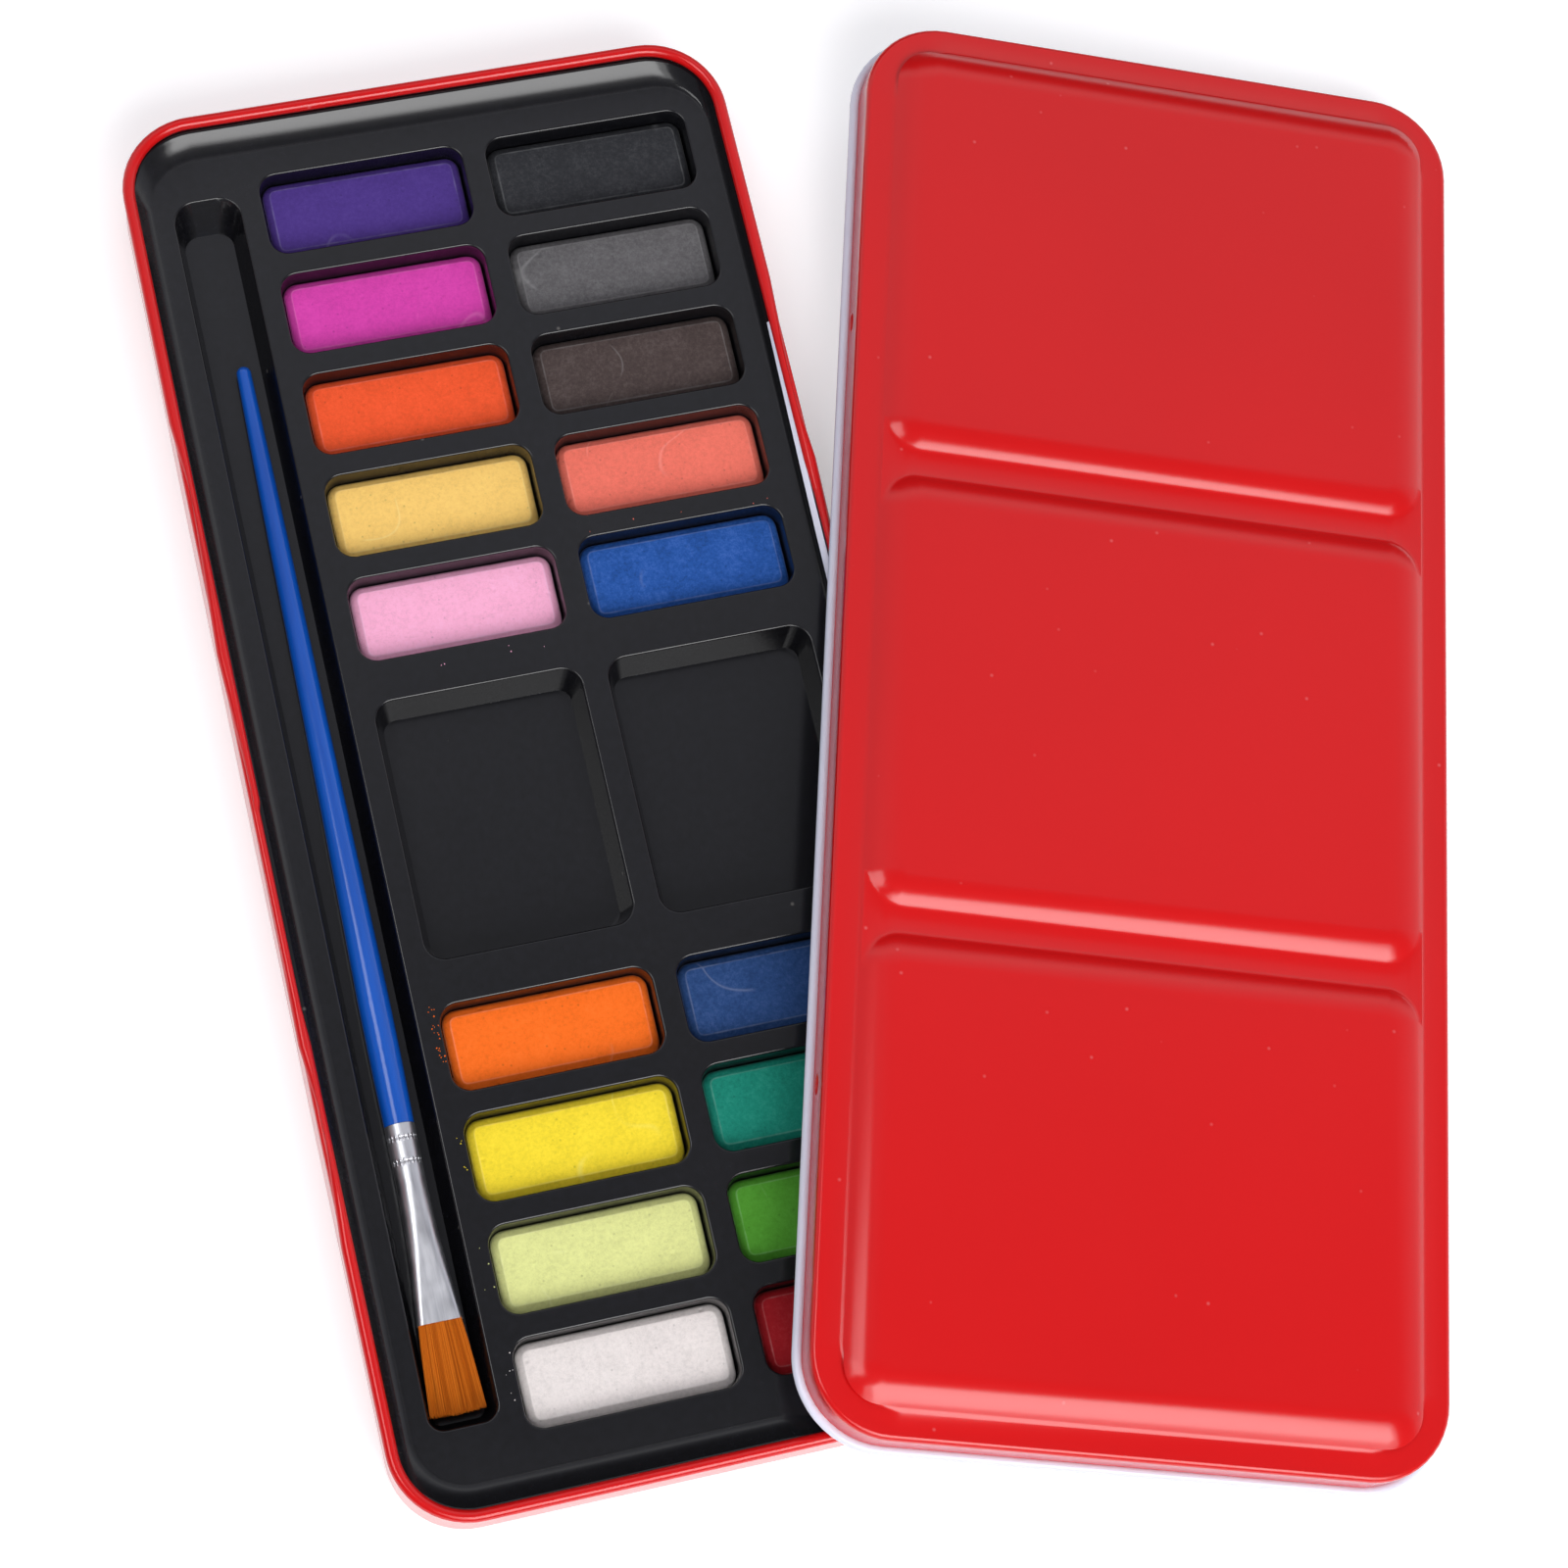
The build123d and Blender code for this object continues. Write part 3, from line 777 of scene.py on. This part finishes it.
# %% Paint cakes
for seed, (name, paint) in enumerate(paints.items()):
    cake = pressed_cake(f"cake_{name}", f"paint_{name}", seed * 3.7)
    cake.data.materials.append(paint)
    settle(cake, "base", f"cake_{name}")

# %% [markdown]
# ### Crumbs
#
# Dry cakes shed crumbs, which lie beside them on the black plastic. They are tiny,
# so each is an icosphere with its points pushed about, and all crumbs of one colour
# are one mesh. A seeded random number keeps them where they are on every run.

# %% Crumbs
CRUMB_SIZE_MM = (0.05, 0.13)
CRUMB_PUSH = 0.25
CRUMBS = {
    # Colour, then how many, and the strip in which they lie
    "orange": (22, (-26.9, -25.9), (-41.5, -33.0)),
    "lemon": (6, (-26.8, -25.6), (-57.0, -50.5)),
    "lime": (4, (-27.6, -26.0), (-74.0, -66.0)),
    "white": (6, (-27.4, -25.8), (-90.0, -82.0)),
    "pink": (5, (-27.0, 4.0), (15.2, 16.8)),
    "coral": (6, (7.4, 40.0), (31.0, 33.0)),
}
loose = random.Random(11)
for name, (count, x_range, y_range) in CRUMBS.items():
    shape = bmesh.new()
    for _ in range(count):
        size = loose.uniform(*CRUMB_SIZE_MM)
        x = loose.uniform(*x_range)
        y = loose.uniform(*y_range)
        spot = Matrix.Translation(Vector((x, y, PLATEAU_MM + size * 0.5)) * MM)
        crumb = bmesh.ops.create_icosphere(shape, subdivisions=1, radius=size * MM, matrix=spot)
        for vert in crumb["verts"]:
            push = [loose.uniform(-CRUMB_PUSH, CRUMB_PUSH) * size * MM for _ in range(3)]
            vert.co += Vector(push)
    crumbs = finish_mesh(shape, f"crumbs_{name}", crease=20)
    crumbs.data.materials.append(paints[name])
    settle(crumbs, "base")

# %% [markdown]
# ## The brush
#
# The brush lies in its channel at a slight slant. Its handle is turned wood under
# blue gloss paint, and its ferrule is a plated tube, crimped round the handle and
# pressed flat at the hair. Both keep their solids' shapes. The paint is thick, so it
# has a full clear coat and soft waves along the grain.

# %% Handle
HANDLE_GRAIN_MM = 0.012


def handle_paint():
    """Blue gloss paint over turned wood."""
    material, tree, shader = start_material(
        "Blue handle paint",
        Roughness=0.4,
        Specular_IOR_Level=0.1,
        Coat_Weight=1.0,
        Coat_Roughness=0.12,
    )
    streaks = object_noise(tree, 500, 3, 0.6, (1, 0.05, 1))
    body = colour_ramp(
        tree, streaks, [(0.3, paint_colour(6, 72, 166)), (0.7, paint_colour(14, 88, 190))]
    )
    tree.links.new(body, shader.inputs["Base Color"])
    rough = map_range(tree, object_noise(tree, 300, 4), 0.3, 0.7, 0.3, 0.42)
    tree.links.new(rough, shader.inputs["Roughness"])
    grain = calculate(tree, "MULTIPLY", streaks, HANDLE_GRAIN_MM)
    add_relief(tree, shader, grain)
    return material


handle = finish_mesh(merged_solid("brush_handle"), "handle", crease=40)
handle.data.materials.append(handle_paint())
settle(handle, "brush", "brush_handle")

# %% [markdown]
# The ferrule's two crimps are knurled: small marks are rolled into the metal all
# round. They are far finer than the tube's wall, so the shader makes them. A wave
# round the tube and one along it multiply into rows of dots, kept to narrow bands.

# %% Ferrule
FERRULE_TOP_MM = -48.55
FERRULE_AXIS_MM = (-34.03, 7.1)
KNURL_PLACES_MM = (2.0, 5.4)
KNURL_WIDTH_MM = 0.55
KNURL_MARKS = 22
KNURL_HEIGHT_MM = 0.1
DRAW_LINE_MM = 0.004


def ferrule_metal():
    """Bright plated metal with fine draw lines and two knurled bands."""
    material, tree, shader = start_material("Plated ferrule", Metallic=1.0)
    marks = object_noise(tree, 1400, 4, 0.7, (1, 0.06, 1))
    body = colour_ramp(
        tree, marks, [(0.3, paint_colour(205, 206, 212)), (0.7, paint_colour(240, 240, 244))]
    )
    tree.links.new(body, shader.inputs["Base Color"])
    rough = map_range(tree, object_noise(tree, 220, 4), 0.3, 0.7, 0.3, 0.44)
    tree.links.new(rough, shader.inputs["Roughness"])
    place = tree.nodes.new("ShaderNodeTexCoord")
    parts = tree.nodes.new("ShaderNodeSeparateXYZ")
    tree.links.new(place.outputs["Object"], parts.inputs["Vector"])
    down = calculate(tree, "SUBTRACT", FERRULE_TOP_MM * MM, parts.outputs["Y"])
    down = calculate(tree, "MULTIPLY", down, 1 / MM)
    side = calculate(tree, "SUBTRACT", parts.outputs["X"], FERRULE_AXIS_MM[0] * MM)
    rise = calculate(tree, "SUBTRACT", parts.outputs["Z"], FERRULE_AXIS_MM[1] * MM)
    turn = calculate(tree, "ARCTAN2", side, rise)
    wave = calculate(tree, "SINE", calculate(tree, "MULTIPLY", turn, KNURL_MARKS), 0)
    dots = calculate(tree, "MAXIMUM", wave, 0)
    height = calculate(tree, "MULTIPLY", marks, DRAW_LINE_MM)
    for middle in KNURL_PLACES_MM:
        off = calculate(tree, "ABSOLUTE", calculate(tree, "SUBTRACT", down, middle), 0)
        band = map_range(tree, off, 0.2, KNURL_WIDTH_MM, KNURL_HEIGHT_MM, 0)
        height = calculate(tree, "ADD", height, calculate(tree, "MULTIPLY", band, dots))
    add_relief(tree, shader, height)
    return material


ferrule = finish_mesh(merged_solid("brush_ferrule"), "ferrule", crease=35)
ferrule.data.materials.append(ferrule_metal())
settle(ferrule, "brush", "brush_ferrule")

# %% [markdown]
# ### The hair
#
# The head is a flat tuft of stiff golden hair. Hair could be a particle system or
# curves, but a mesh of strands stays the same everywhere it is opened. One strand is
# made once, from a small circle extruded a few times, and is then copied for each
# place in the tuft and bent there: fanned out, a little curved, uneven in length,
# and thinner at the tip. Each strand stores its own number for its tone.

# %% One strand
STRAND_RINGS = 5
STRAND_RADIUS_MM = 0.062

shape = bmesh.new()
bmesh.ops.create_circle(shape, segments=4, radius=1, cap_ends=True)
for _ in range(STRAND_RINGS - 1):
    top = max(shape.faces, key=lambda face: face.calc_center_median().z)
    pushed = bmesh.ops.extrude_face_region(shape, geom=[top])
    for vert in made_points(pushed):
        vert.co.z += 1
    bmesh.ops.delete(shape, geom=[top], context="FACES_ONLY")
bmesh.ops.recalc_face_normals(shape, faces=shape.faces)
strand_mesh = bpy.data.meshes.new("strand")
shape.to_mesh(strand_mesh)
shape.free()
print("faces in a strand:", len(strand_mesh.polygons))

# %% Tuft
BRUSH_PLACE_MM = Vector((-34.03, -48.5, 7.06))
BRUSH_YAW = -0.43
BRUSH_PITCH = -0.83
ROOT_MM = -28.0
ROOT_SIZE_MM = (5.85, 1.4)
TIP_SIZE_MM = (7.75, 1.75)
HAIR_LENGTH_MM = 13.2
HAIR_COLUMNS = 88
HAIR_ROWS = 8
HAIR_JITTER = 0.3
HAIR_SWAY_MM = 0.05
HAIR_UNEVEN_MM = (-0.35, 0.1)
HAIR_TAPER = 0.55
HAIR_FINE_MM = 0.01

brush_frame = (
    Matrix.Translation(BRUSH_PLACE_MM * MM)
    @ Matrix.Rotation(radians(BRUSH_YAW), 4, "Z")
    @ Matrix.Rotation(radians(BRUSH_PITCH), 4, "X")
)


def hair_point(column, row, along, sway):
    """A point of a strand in the brush's frame, from its root to its tip."""
    spread = along ** 0.8
    width = ROOT_SIZE_MM[0] + (TIP_SIZE_MM[0] - ROOT_SIZE_MM[0]) * spread
    depth = ROOT_SIZE_MM[1] + (TIP_SIZE_MM[1] - ROOT_SIZE_MM[1]) * spread
    x = column * width + sway[0] * along * along
    z = row * depth + sway[1] * along * along
    return Vector((x, ROOT_MM - along * sway[2], z))


shape = bmesh.new()
tone = shape.verts.layers.float.new("tone")
down_hair = shape.verts.layers.float.new("along")
hair = random.Random(5)
for column in range(HAIR_COLUMNS):
    for row in range(HAIR_ROWS):
        across = column + hair.uniform(-HAIR_JITTER, HAIR_JITTER)
        across = across / (HAIR_COLUMNS - 1) - 0.5
        through = row + hair.uniform(-HAIR_JITTER, HAIR_JITTER)
        through = through / (HAIR_ROWS - 1) - 0.5
        length = HAIR_LENGTH_MM - 0.5 * abs(through) - 0.35 * abs(across)
        length += hair.uniform(*HAIR_UNEVEN_MM)
        side_sway = hair.uniform(-HAIR_SWAY_MM, HAIR_SWAY_MM)
        up_sway = hair.uniform(-HAIR_SWAY_MM, HAIR_SWAY_MM)
        sway = (side_sway, up_sway, length)
        own_tone = hair.random()
        first = len(shape.verts)
        shape.from_mesh(strand_mesh)
        shape.verts.ensure_lookup_table()
        for vert in shape.verts[first:]:
            along = vert.co.z / (STRAND_RINGS - 1)
            radius = STRAND_RADIUS_MM * (1 - HAIR_TAPER * along ** 3)
            point = hair_point(across, through, along, sway)
            point += Vector((vert.co.x * radius, 0, vert.co.y * radius))
            vert.co = brush_frame @ (point * MM)
            vert[tone] = own_tone
            vert[down_hair] = along
bmesh.ops.recalc_face_normals(shape, faces=shape.faces)
tuft = finish_mesh(shape, "hair", crease=60)


def golden_hair():
    """Stiff golden hair, each strand of its own tone, darker towards the tip."""
    material, tree, shader = start_material("Golden hair", Roughness=0.42, Specular_IOR_Level=0.3)
    own = tree.nodes.new("ShaderNodeAttribute")
    own.attribute_name = "tone"
    body = colour_ramp(
        tree,
        own.outputs["Fac"],
        [
            (0.0, paint_colour(166, 80, 12)),
            (0.5, paint_colour(190, 98, 18)),
            (1.0, paint_colour(214, 122, 34)),
        ],
    )
    down = tree.nodes.new("ShaderNodeAttribute")
    down.attribute_name = "along"
    end = map_range(tree, down.outputs["Fac"], 0.82, 1.0, 0, 0.35)
    tree.links.new(
        blend_colour(tree, end, body, paint_colour(150, 74, 18)), shader.inputs["Base Color"]
    )
    lines = object_noise(tree, 3000, 2, 0.6, (1, 0.05, 1))
    fine = calculate(tree, "MULTIPLY", lines, HAIR_FINE_MM)
    add_relief(tree, shader, fine)
    return material


tuft.data.materials.append(golden_hair())
settle(tuft, "brush", "brush_bristles")

# %% [markdown]
# ## Table and light
#
# The set lies on a plain white table. The table adds a little of its own white for
# camera and mirror rays only, so it reads as white without more light falling on the
# tin, and it still takes the shadows.

# %% Table
TABLE_GLOW = 0.4
TABLE_SIZE = 6
TABLE_DROP = 0.0001


def white_table():
    """Plain white that adds a share of its own white for what the camera sees."""
    material, tree, shader = start_material("White table", Roughness=0.5)
    shader.inputs["Base Color"].default_value = paint_colour(238, 238, 239)
    path = tree.nodes.new("ShaderNodeLightPath")
    seen = calculate(tree, "MAXIMUM", path.outputs["Is Camera Ray"], path.outputs["Is Glossy Ray"])
    seen = calculate(tree, "MAXIMUM", seen, path.outputs["Is Transmission Ray"])
    glow = calculate(tree, "MULTIPLY", seen, TABLE_GLOW)
    shader.inputs["Emission Color"].default_value = (1, 1, 1, 1)
    tree.links.new(glow, shader.inputs["Emission Strength"])
    return material


bpy.ops.mesh.primitive_plane_add(size=TABLE_SIZE, location=(0, 0, -TABLE_DROP))
table = bpy.context.object
table.name = "table"
table.data.materials.append(white_table())


# %% [markdown]
# A tall soft box in front, at the height of the camera's mirrored view of the slopes,
# draws the bright lines on the lips, the ramp and the lower side of the panels. It
# has a brighter core, so that its reflections fade towards their edges. One above on
# the left makes the metal and the brush's paint shine. The room is soft, brightest
# behind the set, and dims overhead and on the left, which keeps the flat faces deep in
# colour. Together they light a level surface by about one, so that a colour renders
# about as it is written.

# %% Lights
LIGHT_AIM_MM = Vector((30, 0, 0))


def soft_box(name, direction, distance_mm, size_mm, radiance):
    """A rectangular light of a given brightness that looks at the set."""
    data = bpy.data.lights.new(name, "AREA")
    data.shape = "RECTANGLE"
    data.size = size_mm[0] * MM
    data.size_y = size_mm[1] * MM
    data.energy = radiance * pi * data.size * data.size_y
    lamp = bpy.data.objects.new(name, data)
    away = Vector(direction).normalized()
    lamp.location = (LIGHT_AIM_MM + away * distance_mm) * MM
    lamp.rotation_euler = away.to_track_quat("Z", "Y").to_euler()
    scene.collection.objects.link(lamp)
    share = radiance * data.size * data.size_y / (distance_mm * MM) ** 2 * away.z / pi
    print(name, "lights a level surface by about", round(share, 2))
    return lamp


soft_box("Front soft box", (0.08, -0.74, 0.67), 1200, (1150, 900), 2.4)
soft_box("Core of the front soft box", (0.12, -0.69, 0.71), 1190, (700, 600), 3.9)
soft_box("Upper left soft box", (-0.43, 0.06, 0.88), 1200, (560, 480), 3.6)


ROOM_TINT = (0.97, 0.98, 1.08)
ROOM_FROM = -0.7
ROOM_TO = 1.0
BACK_PULL = 1.2
LEFT_PULL = 0.8
ROOM_GREYS = (
    # How far towards the dim part, then how bright it is there
    (-0.65, 0.06), (-0.45, 0.15), (-0.3, 0.6), (-0.08, 1.0),
    (0.25, 0.66), (0.62, 0.46), (0.74, 0.24), (0.92, 0.18),
)


def room_light(strength):
    """A room that is brightest behind the set, and dim overhead and on the left."""
    world = bpy.data.worlds.new("Pale room")
    world.use_nodes = True
    tree = world.node_tree
    place = tree.nodes.new("ShaderNodeTexCoord")
    parts = tree.nodes.new("ShaderNodeSeparateXYZ")
    tree.links.new(place.outputs["Generated"], parts.inputs["Vector"])
    back = calculate(tree, "MULTIPLY", parts.outputs["Y"], BACK_PULL)
    left = calculate(tree, "MINIMUM", parts.outputs["X"], 0)
    left = calculate(tree, "MULTIPLY", left, LEFT_PULL)
    bright_way = calculate(tree, "ADD", back, left)
    towards_dim = calculate(tree, "SUBTRACT", parts.outputs["Z"], bright_way)
    span = ROOM_TO - ROOM_FROM
    stops = [((step - ROOM_FROM) / span, shade(ROOM_TINT, grey)) for step, grey in ROOM_GREYS]
    along_room = map_range(tree, towards_dim, ROOM_FROM, ROOM_TO, 0, 1)
    colour = colour_ramp(tree, along_room, stops)
    background = tree.nodes["Background"]
    tree.links.new(colour, background.inputs["Color"])
    background.inputs["Strength"].default_value = strength
    return world


scene.world = room_light(1.0)
scene.view_settings.view_transform = "Standard"
